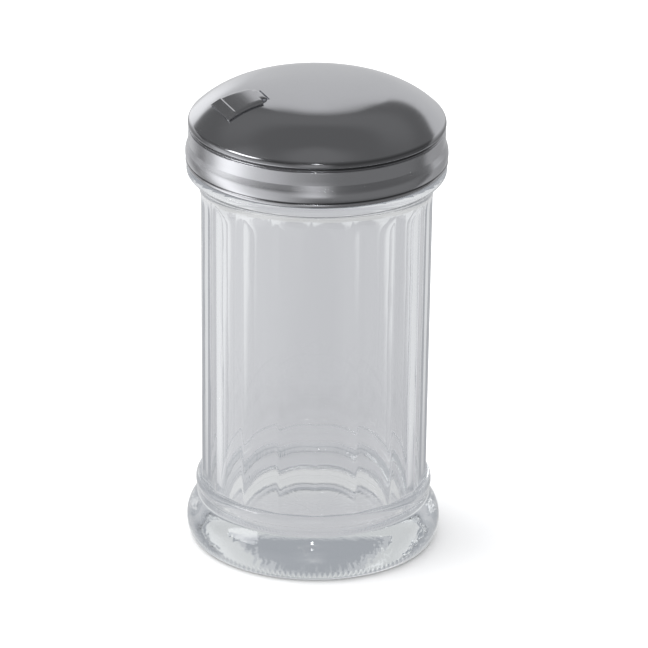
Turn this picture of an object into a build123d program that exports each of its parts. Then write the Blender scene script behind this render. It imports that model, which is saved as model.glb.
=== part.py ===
from build123d import *
import math
import os

# Sugar dispenser with a flap: a panelled glass jar, a pressed steel lid that screws over its neck,
# and a bent steel flap that hooks through a slot in the lid and falls shut over the pour hole.
# Millimetres, +Z up. The origin is the centre of the ring that the jar stands on.
# The flap points along -X, and its hinge axis is parallel to Y.
# A reach is how far one curve stands out past the one that it is measured from.

# ---- jar: body and panels ----
panel_count = 18            # flat vertical panels round the body
panel_apothem = 32.8        # axis to the middle of a panel
panels_straight = 102.5     # table up to where the panels begin to flare out to the collar
panel_corner_round = 3.0    # rounding of the ridge between two panels
panel_turn = 8.0            # first ridge, in degrees from +X
core_setback = 0.05         # how far the round core lies behind the panels
body_wall = 2.6             # glass behind the middle of a panel

# ---- jar: foot, and the ring above it ----
ring_reach = 1.75           # ring past the panels
ring_fall = 1.5             # ring's widest point down to the groove between the ring and the foot
ring_rise = 2.2             # ring's widest point up to where the panels stand on it
ring_groove_depth = 0.55    # that groove, measured from the ring
groove_height = 17.6        # standing ring up to that groove
foot_reach = 2.9            # foot past that groove
foot_height = 7.8           # standing ring up to the foot's widest point
foot_side_round = 6.0       # round that turns the foot's side in towards the groove
foot_under_reach = 2.5      # widest point in to the standing ring

# ---- jar: base ----
standing_width = 5.2        # width of the flat ring that touches the table
push_up_depth = 2.6         # hollow under the base
base_thickness = 6.4        # glass over the middle of the hollow
inner_floor_round = 7.0     # rounding between the inner floor and the wall

# ---- jar: shoulder, collar and neck ----
shoulder_radius = 19.6      # hollow curve that flares from the panels out to the collar
shoulder_length = 10.9
collar_reach = 1.4          # rounded collar past the flare
collar_half_height = 1.4
neck_setback = 3.1          # collar in to the neck
neck_wall = 4.7
neck_length = 11.0          # height of the thick wall at the neck
neck_taper = 4.5            # height over which the wall thins again below it
lip_round = 1.5             # rounding of the glass rim

# ---- lid: pressed sheet ----
sheet = 0.5                 # the lid and the flap are both bent from this sheet
thread_space = 2.1          # neck to the inside of the skirt
lid_gap = 0.35              # collar to the rolled edge
curl_radius = 0.75          # rolled edge at the bottom of the skirt
curl_reach = 0.75           # rolled edge past the skirt
band_step = 0.45            # top of the bulging lowest band, past the skirt
band_flare = 0.85           # widest part of that band, past the skirt
band_tuck = 0.6             # foot of the band, past the skirt, where it meets the rolled edge
band_height = 4.5           # top of the band above the rolled edge's centre
band_middle = 2.0           # widest part of the band above the rolled edge's centre
step_height = 1.5           # height over which the skirt steps out to the band
skirt_height = 10.0         # rolled edge's centre up to the top of the skirt
skirt_round = 0.3
rim_reach = 0.1             # rim round the dome, past the skirt
rim_round = 2.2             # how the dome turns over at its rim
rim_under_round = 0.6       # how the rim turns in under itself, to the groove
rim_under_turn = 50.0       # in degrees
rim_rise = 1.5              # top of the skirt up to the widest part of the rim
rim_slope = 45.0            # slope of the dome where it meets the rim, in degrees
groove_depth = 0.55         # groove between the skirt and the rim
dome_shoulder_radius = 28.1
crown_radius = 140.0        # nearly flat middle of the dome
seat_gap = 0.35             # glass rim to the underside of the dome

# ---- lid: openings ----
hole_inset = 1.3            # bore of the neck in to the far end of the pour hole
hole_length = 8.6           # pour hole, measured away from the axis
hole_width = 9.6
hole_corner = 1.6
web_width = 2.0             # strip of dome between the pour hole and the hinge slot
slot_end_clearance = 0.3    # tongue to each end of the slot
slot_back_clearance = 0.6   # hook to the inner edge of the slot

# ---- flap ----
flap_side_cover = 1.2       # flap past each side of the pour hole
flap_end_cover = 1.6        # flap past the far end of the pour hole
flap_splay = 1.7            # how much wider the flap is at its free end
flap_corner = 0.6           # rounding of the two free corners
lip_length = 2.8            # free end that is bent down
leaf_setback = 0.8          # edge of the slot to the full-width part of the flap
crease_lift = 0.8           # underside of the flap above the dome at the crease
tip_gap = 0.35              # underside of the flap above the dome at the free end
bend_radius = 0.6           # inside of the hook that wraps the edge of the slot
tab_width = 7.0             # tongue that passes through the slot
tab_drop = 2.9              # length of the tongue below the hinge axis
head_ear = 1.2              # cross-head past each side of the tongue, which keeps it in the slot
head_height = 1.1

# ---- sizes of the jar that follow ----
core_radius = panel_apothem - core_setback
inner_radius = panel_apothem - body_wall
ring_radius = panel_apothem + ring_reach
groove_radius = ring_radius - ring_groove_depth
foot_radius = groove_radius + foot_reach
# The foot's side leaves its round at the point where a straight line to the groove touches it.
to_groove = (groove_radius - foot_radius + foot_side_round, groove_height - foot_height)
foot_side_turn = math.degrees(math.atan2(to_groove[1], to_groove[0]) - math.acos(foot_side_round / math.hypot(*to_groove)))
ring_height = groove_height + ring_fall
ring_top = ring_height + ring_rise
shoulder_start = panels_straight
collar_low = shoulder_start + shoulder_length
collar_height = collar_low + collar_half_height
collar_high = collar_height + collar_half_height
stand_outer = foot_radius - foot_under_reach
stand_inner = stand_outer - standing_width
inner_floor = push_up_depth + base_thickness


def turned(*edges):
    """Solid of revolution about Z from a closed outline drawn in the XZ plane."""
    return revolve(Plane.XZ * make_face(Curve() + list(edges)), Axis.Z)


def quarter(centre, across, up, start):
    """Quarter of an ellipse, or of a circle, drawn anticlockwise from a start angle."""
    return EllipticalCenterArc(centre, across, up, start, arc_size=90)


def cove(core, radius, level, end):
    """Hollow curve that starts vertical on the core at one level and flares outwards to another."""
    centre = core + radius
    half = (end - level) / 2
    points = [(centre - math.sqrt(radius**2 - rise**2), level + rise) for rise in (0, half, 2 * half)]
    return ThreePointArc(*points)


flare = cove(core_radius, shoulder_radius, shoulder_start, collar_low)
collar_radius = (flare @ 1).X + collar_reach
neck_radius = collar_radius - neck_setback
neck_inner = neck_radius - neck_wall

# ---- sizes of the lid that follow ----
skirt_radius = neck_radius + thread_space + sheet
curl_height = collar_high + lid_gap + curl_radius
band_top = curl_height + band_height
step_top = band_top + step_height
skirt_top = curl_height + skirt_height
groove_floor = skirt_radius - groove_depth
rim_radius = skirt_radius + rim_reach
rim_height = skirt_top + rim_rise

# The dome is three arcs that share their tangents: a wide one over the middle, a tighter one down
# the shoulder, and the rim that it turns over into. The lid, the glass rim and the flap follow them.
fall_x, fall_z = math.sin(math.radians(rim_slope)), math.cos(math.radians(rim_slope))
dome_foot = rim_radius - rim_round * (1 - fall_x)
turn_x = dome_foot - dome_shoulder_radius * fall_x
turn_z = rim_height + (rim_round - dome_shoulder_radius) * fall_z
crown_angle = math.asin(turn_x / (crown_radius - dome_shoulder_radius))
crown_edge = crown_radius * math.sin(crown_angle)
crown_centre = turn_z - (crown_radius - dome_shoulder_radius) * math.cos(crown_angle)
crown_height = crown_centre + crown_radius
dome_rise = crown_height - rim_height


def dome_height(radius):
    """Height of the dome's outside at a distance from the axis."""
    if radius < crown_edge:
        return crown_centre + math.sqrt(crown_radius**2 - radius**2)
    return turn_z + math.sqrt(dome_shoulder_radius**2 - (radius - turn_x) ** 2)


def dome_slope(radius):
    """Fall of the dome's outside at a distance from the axis, in radians."""
    if radius < crown_edge:
        return math.asin(radius / crown_radius)
    return math.asin((radius - turn_x) / dome_shoulder_radius)


def dome_arcs(foot, below):
    """The dome's outline from its foot up to the axis, a set distance below its outside."""
    shoulder = dome_shoulder_radius - below
    start = math.degrees(math.acos((foot - turn_x) / shoulder))
    turn = 90 - math.degrees(crown_angle)
    return [
        CenterArc((turn_x, turn_z), shoulder, start, turn - start),
        CenterArc((0, crown_centre), crown_radius - below, turn, 90 - turn),
    ]


# ---- jar: foot, ring, shoulder, collar and neck are turned; the core stays behind the panels ----
lower_foot = quarter((stand_outer, foot_height), foot_under_reach, foot_height, 270)
foot_side = CenterArc((foot_radius - foot_side_round, foot_height), foot_side_round, 0, foot_side_turn)
ring_under = quarter((groove_radius, ring_height), ring_radius - groove_radius, ring_fall, 270)
ring_over = quarter((core_radius, ring_height), ring_radius - core_radius, ring_rise, 0)
collar_top = ((flare @ 1).X, collar_high)
collar = ThreePointArc(flare @ 1, (collar_radius, collar_height), collar_top)

# The outer round of the glass rim lies one seat gap under the dome.
lip_x = neck_radius - lip_round
lip_reach = dome_shoulder_radius - sheet - seat_gap - lip_round
lip_z = turn_z + math.sqrt(lip_reach**2 - (lip_x - turn_x) ** 2)
neck_low = lip_z + lip_round - neck_length
outer_lip = quarter((lip_x, lip_z), lip_round, lip_round, 0)
inner_lip = quarter((neck_inner + lip_round, lip_z), lip_round, lip_round, 90)

# The hollow under the base is a shallow bowl. The inner floor is flat, with a round up to the wall.
push_up_radius = (stand_inner**2 + push_up_depth**2) / (2 * push_up_depth)
push_up = RadiusArc((0, push_up_depth), (stand_inner, 0), push_up_radius)
floor_centre = (inner_radius - inner_floor_round, inner_floor + inner_floor_round)
floor_turn = quarter(floor_centre, inner_floor_round, inner_floor_round, 270)

glass = turned(
    Line((stand_inner, 0), (stand_outer, 0)),
    lower_foot,
    foot_side,
    Line(foot_side @ 1, ring_under @ 0),
    ring_under,
    ring_over,
    Line(ring_over @ 1, flare @ 0),
    flare,
    collar,
    Polyline(collar_top, (neck_radius, collar_high), outer_lip @ 0),
    outer_lip,
    Line(outer_lip @ 1, inner_lip @ 0),
    inner_lip,
    Polyline(
        inner_lip @ 1,
        (neck_inner, neck_low),
        (inner_radius, neck_low - neck_taper),
        floor_turn @ 1,
    ),
    floor_turn,
    Polyline(floor_turn @ 0, (0, inner_floor), (0, push_up_depth)),
    push_up,
)

# The panels are one sleeve. It stands in the ring, and its top is buried in the flare under the
# collar, so that its flat faces die into that hollow curve in rounded arches.
panel_high = collar_low - collar_half_height
panels = RegularPolygon(panel_apothem, panel_count, major_radius=False, rotation=panel_turn)
panels = fillet(panels.vertices(), panel_corner_round) - Circle((inner_radius + core_radius) / 2)
jar = glass + extrude(Pos(0, 0, ring_height) * panels, panel_high - ring_height)

# ---- lid: one pressed sheet from the rolled edge to the crown ----
sheet_foot = curl_height + curl_radius / 2
shoulder_in = skirt_radius - skirt_round
inner_skirt = skirt_radius - sheet
rim_under = CenterArc(
    (rim_radius - rim_under_round, rim_height), rim_under_round, -rim_under_turn, rim_under_turn
)
rim = CenterArc((rim_radius - rim_round, rim_height), rim_round, 0, 90 - rim_slope)
groove_middle = (skirt_top + (rim_under @ 0).Y) / 2
outer_dome = dome_arcs(dome_foot, 0)
inner_dome = dome_arcs(groove_floor - sheet, sheet)

band_foot = (skirt_radius + band_tuck, sheet_foot)
band_crest = (skirt_radius + band_flare, curl_height + band_middle)
band_start = (skirt_radius + band_step, band_top)

shell = turned(
    ThreePointArc(band_foot, band_crest, band_start),
    Polyline(band_start, (skirt_radius, step_top), (skirt_radius, skirt_top - skirt_round)),
    quarter((shoulder_in, skirt_top - skirt_round), skirt_round, skirt_round, 0),
    ThreePointArc((shoulder_in, skirt_top), (groove_floor, groove_middle), rim_under @ 0),
    rim_under,
    rim,
    *outer_dome,
    Line(outer_dome[1] @ 1, inner_dome[1] @ 1),
    *inner_dome,
    Polyline(
        inner_dome[0] @ 0,
        (groove_floor - sheet, skirt_top),
        (inner_skirt, skirt_top - 2 * sheet),
        (inner_skirt, step_top),
        (inner_skirt + band_step, band_top),
        (inner_skirt + band_tuck, sheet_foot),
        band_foot,
    ),
)
curl = Pos(0, 0, curl_height) * Torus(skirt_radius + curl_reach - curl_radius, curl_radius)

# Outlines that lie along the flap are drawn with local x pointing away from the axis, over the flap.
side_view = Plane(origin=(0, 0, 0), x_dir=(-1, 0, 0), z_dir=(0, 1, 0))
plan_view = Plane(origin=(0, 0, crown_height), x_dir=(-1, 0, 0), z_dir=(0, 0, 1))

hole_end = neck_inner - hole_inset
web_edge = hole_end - hole_length - web_width
hook_radius = bend_radius + sheet
slot_length = tab_width + 2 * slot_end_clearance
slot_width = hook_radius + slot_back_clearance
slot = Pos(web_edge - slot_width / 2, 0) * Rectangle(slot_width, slot_length)
pour_hole = Pos(hole_end - hole_length / 2, 0) * RectangleRounded(hole_length, hole_width, hole_corner)
lid = shell + curl - extrude(plan_view * (slot + pour_hole), -dome_rise)

# ---- flap: one bent strip that wraps the outer edge of the slot ----
flap_reach = hole_end + flap_end_cover
flap_crease = flap_reach - lip_length
slope = dome_slope(web_edge)
hinge = Vector(web_edge, dome_height(web_edge) - sheet / 2)
crease = Vector(flap_crease, dome_height(flap_crease) + crease_lift)
free_end = Vector(flap_reach, dome_height(flap_reach) + tip_gap)


def lifted(point, direction, amount=sheet):
    """Point moved square to a direction of travel, to its left."""
    return point + Vector(-direction.Y, direction.X).normalized() * amount


tongue = Line(hinge + Vector(-bend_radius, -tab_drop), hinge + Vector(-bend_radius, 0))
bend = CenterArc(hinge, bend_radius, 180, -90 - math.degrees(slope))
leaf = TangentArc(bend @ 1, crease, tangent=bend % 1)
lip = Line(crease, free_end)
# The sheet's upper face meets itself over the crease, half way between the leaf and the lip.
half_turn = (lip % 0).get_angle(leaf % 1) / 2
over_crease = lifted(crease, (leaf % 1) + (lip % 0), sheet / math.cos(math.radians(half_turn)))
strip = make_face(
    Curve()
    + [
        tongue,
        bend,
        leaf,
        lip,
        Line(free_end, lifted(free_end, lip % 1)),
        Line(lifted(free_end, lip % 1), over_crease),
        ThreePointArc(over_crease, lifted(leaf @ 0.5, leaf % 0.5), lifted(leaf @ 0, leaf % 0)),
        CenterArc(hinge, hook_radius, 90 - math.degrees(slope), 90 + math.degrees(slope)),
        Line(lifted(tongue @ 1, tongue % 1), lifted(tongue @ 0, tongue % 0)),
        Line(lifted(tongue @ 0, tongue % 0), tongue @ 0),
    ]
)


def across(width):
    """The bent strip at one width, centred on the XZ plane."""
    return extrude(side_view * strip, width / 2, both=True)


# Seen from above, the leaf widens towards its free end.
leaf_start = web_edge + leaf_setback
leaf_end = flap_reach + sheet
leaf_width = hole_width + 2 * flap_side_cover
free_width = leaf_width + flap_splay
leaf_plan = Polygon(
    (leaf_start, -leaf_width / 2),
    (leaf_end, -free_width / 2),
    (leaf_end, free_width / 2),
    (leaf_start, leaf_width / 2),
    align=None,
)
leaf_block = extrude(plan_view * leaf_plan, dome_rise, both=True)

# The cross-head is the bottom of the strip at its own width.
head_width = tab_width + 2 * head_ear
head_top = hinge.Y - tab_drop + head_height
head_plan = Rectangle(4 * hook_radius, 2 * head_width)
head_block = Pos(-web_edge, 0, head_top) * extrude(head_plan, -tab_drop)

flap = across(tab_width) + (across(2 * free_width) & leaf_block) + (across(head_width) & head_block)
free_face = flap.faces().sort_by(Axis.X)[0]
flap = fillet(free_face.edges().sort_by(SortBy.LENGTH)[:2], flap_corner)

os.makedirs("parts", exist_ok=True)
for name, solid in {"jar": jar, "lid": lid, "flap": flap}.items():
    print(name, "volume", round(solid.volume, 1), "in", len(solid.solids()), "solid")
    export_step(solid, f"parts/{name}.step")
print("hinge axis", -hinge.X, hinge.Y, "height", crown_height)
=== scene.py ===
# %% [markdown]
# # A sugar dispenser with a flap
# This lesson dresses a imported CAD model. The object is a clear glass jar with flat panels, a pressed
# steel lid that screws over its neck, and a small bent flap that swings up over a pour hole.
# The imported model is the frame: it fixes where every body sits and how it moves. Each piece that is
# made here takes its place from that frame and rides on one of its bodies, so that it moves with it.

# %% Load the frame
import math

import bmesh
import bpy
from mathutils import Matrix, Vector


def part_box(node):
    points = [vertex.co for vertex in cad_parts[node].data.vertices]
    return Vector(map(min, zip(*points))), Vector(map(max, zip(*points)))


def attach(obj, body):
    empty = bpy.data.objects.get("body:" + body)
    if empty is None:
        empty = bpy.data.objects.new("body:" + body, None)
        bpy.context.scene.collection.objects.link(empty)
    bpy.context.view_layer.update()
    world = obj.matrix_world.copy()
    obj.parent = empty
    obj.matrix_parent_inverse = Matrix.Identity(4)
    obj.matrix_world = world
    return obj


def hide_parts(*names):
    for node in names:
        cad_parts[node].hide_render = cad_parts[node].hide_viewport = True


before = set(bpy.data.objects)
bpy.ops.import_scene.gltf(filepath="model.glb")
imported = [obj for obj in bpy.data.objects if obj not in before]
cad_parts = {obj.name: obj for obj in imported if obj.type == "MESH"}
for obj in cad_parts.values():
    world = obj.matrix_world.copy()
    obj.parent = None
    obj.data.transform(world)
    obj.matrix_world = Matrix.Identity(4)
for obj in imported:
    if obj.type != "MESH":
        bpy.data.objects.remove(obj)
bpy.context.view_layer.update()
scene = bpy.context.scene
mm = 0.001

# %% [markdown]
# ## Sizes
# Blender works in metres here, but a maker thinks of a sugar pourer in millimetres. The sizes below
# are in millimetres, and each mesh is scaled once, when its points are written. The glass has a wall
# that the eye sees from both sides, so the inside of the jar needs sizes as much as the outside does.

# %% Sizes of the jar
panel_count = 18
panel_apothem = 32.8
panel_turn = 10.2           # degrees
panel_draft, draft_middle = 0.0065, 45.0
ridge_softness, arch_softness = 0.26, 0.7
core_radius = 32.75
wall_radius = core_radius - 0.6
body_wall = 2.6
foot_height, foot_side_round, foot_reach, foot_under_reach = 5.7, 9.0, 3.05, 2.6
ring_radius, ring_fall, ring_rise = 34.4, 1.5, 2.3
groove_radius, groove_height, groove_slope = 33.95, 15.9, 2.4
shoulder_start = 102.5
shoulder_radius, shoulder_length = 19.6, 10.9
collar_reach, collar_half_height = 1.4, 1.4
neck_setback, neck_wall, neck_length, neck_taper = 3.1, 4.7, 11.0, 4.5
lip_round = 1.5
standing_width, push_up_depth, base_thickness, inner_floor_round = 5.2, 2.6, 6.4, 7.0

foot_radius = groove_radius + foot_reach
stand_outer = foot_radius - foot_under_reach
stand_inner = stand_outer - standing_width
ring_height = groove_height + ring_fall
ring_top = ring_height + ring_rise
collar_low = shoulder_start + shoulder_length
collar_height = collar_low + collar_half_height
collar_high = collar_height + collar_half_height
flare_end = core_radius + shoulder_radius - math.sqrt(shoulder_radius**2 - shoulder_length**2)
collar_radius = flare_end + collar_reach
neck_radius = collar_radius - neck_setback
neck_inner = neck_radius - neck_wall
inner_radius = panel_apothem - body_wall
inner_floor = push_up_depth + base_thickness
rim_of_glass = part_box("jar")[1].z / mm
lip_centre = rim_of_glass - lip_round
neck_low = rim_of_glass - neck_length
print("glass", round(2 * foot_radius, 1), "mm across the foot,", round(rim_of_glass, 2), "mm tall")

# %% [markdown]
# ## Outlines
# A turned piece is half of its cross-section, spun about an axis. The outline is a chain of points
# (distance from the axis, height). Straight runs need two points. Round runs need enough points for
# the light to run over them without a kink, so each is written as an arc with its number of steps.

# %% Helpers for outlines
def arc(centre, across, up, start, turn, steps):
    """Points along an ellipse, from a start angle and through a turn, both in degrees."""
    angles = [math.radians(start + turn * step / steps) for step in range(steps + 1)]
    return [(centre[0] + across * math.cos(a), centre[1] + up * math.sin(a)) for a in angles]


def arc_through(first, middle, last, steps):
    """Points along the circle through three points."""
    (ax, az), (bx, bz), (cx, cz) = first, middle, last
    double = 2 * (ax * (bz - cz) + bx * (cz - az) + cx * (az - bz))
    square_a, square_b, square_c = ax**2 + az**2, bx**2 + bz**2, cx**2 + cz**2
    x = (square_a * (bz - cz) + square_b * (cz - az) + square_c * (az - bz)) / double
    z = (square_a * (cx - bx) + square_b * (ax - cx) + square_c * (bx - ax)) / double
    radius = math.dist((x, z), first)
    start, end = (math.degrees(math.atan2(p[1] - z, p[0] - x)) for p in (first, last))
    passing = math.degrees(math.atan2(middle[1] - z, middle[0] - x))
    turn = (end - start) % 360
    if (passing - start) % 360 > turn:
        turn -= 360
    return arc((x, z), radius, radius, start, turn, steps)


def eased(corners, radius, steps=6):
    """A chain of corners with each inner corner rounded."""
    points = [corners[0]]
    for before, corner, after in zip(corners, corners[1:], corners[2:]):
        here = Vector(corner)
        back = (Vector(before) - here).normalized()
        on = (Vector(after) - here).normalized()
        half = back.angle(on) / 2
        reach = min(radius / math.tan(half), math.dist(before, corner) / 2, math.dist(corner, after) / 2)
        start, end = here + back * reach, here + on * reach
        middle = here + (back + on).normalized() * (reach / math.cos(half) - reach * math.tan(half))
        points += arc_through(tuple(start), tuple(middle), tuple(end), steps)
    return points + [corners[-1]]


def chain(*runs):
    """Runs of points joined into one outline, without the points that would repeat."""
    joined = []
    for point in [point for run in runs for point in run]:
        if not joined or math.dist(point, joined[-1]) > 0.005:
            joined.append(point)
    return joined


def evenly(first, last, steps):
    """Points along a straight run."""
    return [
        tuple(a + (b - a) * step / steps for a, b in zip(first, last)) for step in range(steps + 1)
    ]


# %% [markdown]
# ## The jar's outline
# The jar is pressed glass. Underneath is a shallow hollow inside a flat standing ring. Outside, from
# the table up, come the rounded foot, the groove, the ring, the wall, a hollow curve that flares, the
# collar and the neck. The rim is rounded, and the inside is plain. The foot, groove and ring melt into
# one another, because hot glass doesn't keep a sharp corner, so their arcs are joined by eased corners.
# Behind the flat panels the outline stays a little further in, where the panels will cover it.

# %% Outline of the jar
wall_rows, neck_rows = 14, 30
push_up_radius = (stand_inner**2 + push_up_depth**2) / (2 * push_up_depth)
push_up_angle = math.degrees(math.asin(stand_inner / push_up_radius))
push_up = arc((0, push_up_depth - push_up_radius), push_up_radius, push_up_radius, 90, -push_up_angle, 16)
stand_corners = [push_up[-2], (stand_inner, 0), (stand_outer, 0), (stand_outer + 0.4, 0.07)]
standing = eased(stand_corners, 0.5, 3)
lower_foot = arc((stand_outer, foot_height), foot_under_reach, foot_height, 285, 75, 14)
side_centre = (foot_radius - foot_side_round, foot_height)
foot_side = arc(side_centre, foot_side_round, foot_side_round, 0, 36, 18)
ring_under = arc((groove_radius, ring_height), ring_radius - groove_radius, ring_fall, 270, 90, 12)
ring_over = arc((core_radius, ring_height), ring_radius - core_radius, ring_rise, 0, 66, 14)
ring_to_wall = [ring_over[-2], ring_over[-1], (wall_radius, ring_top), (wall_radius, ring_top + 4)]
ring_over += eased(ring_to_wall, 1.6, 8)[1:]
groove_low = (groove_radius, groove_height - groove_slope)
groove = eased([foot_side[-1], groove_low, ring_under[0], ring_under[6]], 2.4, 10)
wall = evenly((wall_radius, ring_top + 4), (wall_radius, shoulder_start - 1), wall_rows)
flare_angle = math.degrees(math.asin(shoulder_length / shoulder_radius))
flare_centre = (core_radius + shoulder_radius, shoulder_start)
flare = arc(flare_centre, shoulder_radius, shoulder_radius, 180, -flare_angle, 28)
collar = arc_through(flare[-1], (collar_radius, collar_height), (flare_end, collar_high), 16)
neck = eased([collar[-1], (neck_radius, collar_high), (neck_radius, collar_high + 1)], 0.4, 5)
neck += evenly((neck_radius, collar_high + 1), (neck_radius, lip_centre), neck_rows)
lip_out = arc((neck_radius - lip_round, lip_centre), lip_round, lip_round, 0, 90, 8)
lip_in = arc((neck_inner + lip_round, lip_centre), lip_round, lip_round, 90, 90, 8)
inner_wall = eased(
    [
        (neck_inner, lip_centre),
        (neck_inner, neck_low),
        (inner_radius, neck_low - neck_taper),
        (inner_radius, inner_floor + inner_floor_round),
    ],
    14.0,
    10,
)
floor_centre = (inner_radius - inner_floor_round, inner_floor + inner_floor_round)
floor_turn = arc(floor_centre, inner_floor_round, inner_floor_round, 0, -90, 14)
jar_outline = chain(
    push_up[:-1], standing, lower_foot, foot_side, groove[1:-1], ring_under[6:], ring_over,
    wall, flare, collar, neck, lip_out, lip_in, inner_wall, floor_turn, [(0, inner_floor)],
)
print("jar outline", len(jar_outline), "points")

# %% [markdown]
# ## Spinning an outline with Geometry Nodes
# Blender can spin an outline with the Screw modifier, with mesh code, or with Geometry Nodes. The
# nodes win here, because the jar isn't purely turned: its panels follow a rule that is easy to say
# for every point at once. So one node group spins any outline, and the jar adds its rule after it.
# Curve to Mesh carries the outline round a circle. The circle must not be of no size, so the outline
# is written relative to a small circle and lands in the right place once it is swept.

# %% Helpers for nodes
def feed(tree, socket, value):
    """Links a socket to another, or sets its value."""
    if isinstance(value, bpy.types.NodeSocket):
        tree.links.new(value, socket)
    else:
        socket.default_value = value


def add(tree, kind, inputs=(), **settings):
    """A new node with its settings, and with its inputs fed by name or by place."""
    node = tree.nodes.new(kind)
    for name, value in settings.items():
        setattr(node, name, value)
    for name, value in dict(inputs).items():
        feed(tree, node.inputs[name], value)
    return node


def calc(tree, operation, *values):
    """A math node's result. A value is a number or a socket."""
    node = tree.nodes.new("ShaderNodeMath")
    node.operation = operation
    for socket, value in zip(node.inputs, values):
        feed(tree, socket, value)
    return node.outputs[0]


def ramp(tree, value, low, high, first=0.0, last=1.0, kind="LINEAR"):
    """A value carried from one range to another, and held at both ends."""
    given = {"Value": value, "From Min": low, "From Max": high, "To Min": first, "To Max": last}
    return add(tree, "ShaderNodeMapRange", given, interpolation_type=kind).outputs[0]


def from_axis(tree, x, y):
    """Distance from the axis."""
    squares = [calc(tree, "MULTIPLY", side, side) for side in (x, y)]
    return calc(tree, "SQRT", calc(tree, "ADD", *squares))


def between(tree, value, low, high):
    """1 where a value lies between two others, and 0 elsewhere."""
    above, below = calc(tree, "GREATER_THAN", value, low), calc(tree, "LESS_THAN", value, high)
    return calc(tree, "MULTIPLY", above, below)


def new_group(name, kind, inputs, outputs):
    """A node group with named sockets. Each input is (name, socket type, start value)."""
    tree = bpy.data.node_groups.new(name, kind)
    for label, socket_type, value in inputs:
        socket = tree.interface.new_socket(label, in_out="INPUT", socket_type=socket_type)
        if value is not None:
            socket.default_value = value
    for label, socket_type in outputs:
        tree.interface.new_socket(label, in_out="OUTPUT", socket_type=socket_type)
    return tree, tree.nodes.new("NodeGroupInput").outputs, tree.nodes.new("NodeGroupOutput").inputs


NUMBER, WHOLE = "NodeSocketFloat", "NodeSocketInt"
SHAPE, FINISH = "NodeSocketGeometry", "NodeSocketMaterial"
hub_radius = 10.0           # radius of the circle that outlines are swept round, in millimetres


# %% The spinning group
def spinning_group():
    """Outline in, closed turned mesh out. The outline lies in the XY plane: x outwards, y down."""
    tree, given, out = new_group(
        "spin outline",
        "GeometryNodeTree",
        [("Outline", SHAPE, None), ("Columns", WHOLE, 360)],
        [("Mesh", SHAPE)],
    )
    circle = add(tree, "GeometryNodeCurvePrimitiveCircle", {"Resolution": given["Columns"]})
    circle.inputs["Radius"].default_value = hub_radius * mm
    outline = add(tree, "GeometryNodeMeshToCurve", {"Mesh": given["Outline"]})
    swept = add(
        tree,
        "GeometryNodeCurveToMesh",
        {"Curve": circle.outputs["Curve"], "Profile Curve": outline.outputs["Curve"]},
    )
    whole = swept.outputs["Mesh"]
    closed = add(tree, "GeometryNodeMergeByDistance", {"Geometry": whole, "Distance": 1e-6})
    feed(tree, out["Mesh"], closed.outputs["Geometry"])
    return tree


spin_outline = spinning_group()
print("spinning rule has", len(spin_outline.nodes), "nodes")


def outline_object(name, points):
    """The outline as a chain of edges, ready to be swept."""
    mesh = bpy.data.meshes.new(name)
    places = [((radius - hub_radius) * mm, -height * mm, 0) for radius, height in points]
    mesh.from_pydata(places, [(i, i + 1) for i in range(len(places) - 1)], [])
    piece = bpy.data.objects.new(name, mesh)
    scene.collection.objects.link(piece)
    return piece


def grow(piece, tree, **inputs):
    """Runs a Geometry Nodes tree on a piece and keeps the result as a plain mesh."""
    modifier = piece.modifiers.new("grow", "NODES")
    modifier.node_group = tree
    for item in tree.interface.items_tree:
        key = item.name.lower().replace(" ", "_")
        if item.in_out == "INPUT" and key in inputs:
            modifier[item.identifier] = inputs[key]
    plain(piece)


def plain(piece):
    """Applies every modifier of a piece by taking its evaluated mesh."""
    bpy.context.view_layer.update()
    evaluated = piece.evaluated_get(bpy.context.evaluated_depsgraph_get())
    mesh = bpy.data.meshes.new_from_object(evaluated)
    mesh.name = piece.name
    piece.modifiers.clear()
    piece.data = mesh
    print(piece.name, len(mesh.vertices), "vertices", len(mesh.polygons), "faces")


# %% [markdown]
# ## The rule of the panels
# Each panel is a plane at one distance from the axis. Two neighbours meet in a soft ridge, which is a
# smooth minimum of two planes. The panels cut through the turned wall wherever they stand further out
# than it does, which is a smooth maximum, and that alone draws the arches at the top and the bottom.
# The columns of the mesh are also drawn together at the ridges, where the shape turns. A pressed jar
# is a little wider at the top, so that it leaves its mould: that draft tilts every panel by a hair.

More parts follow.
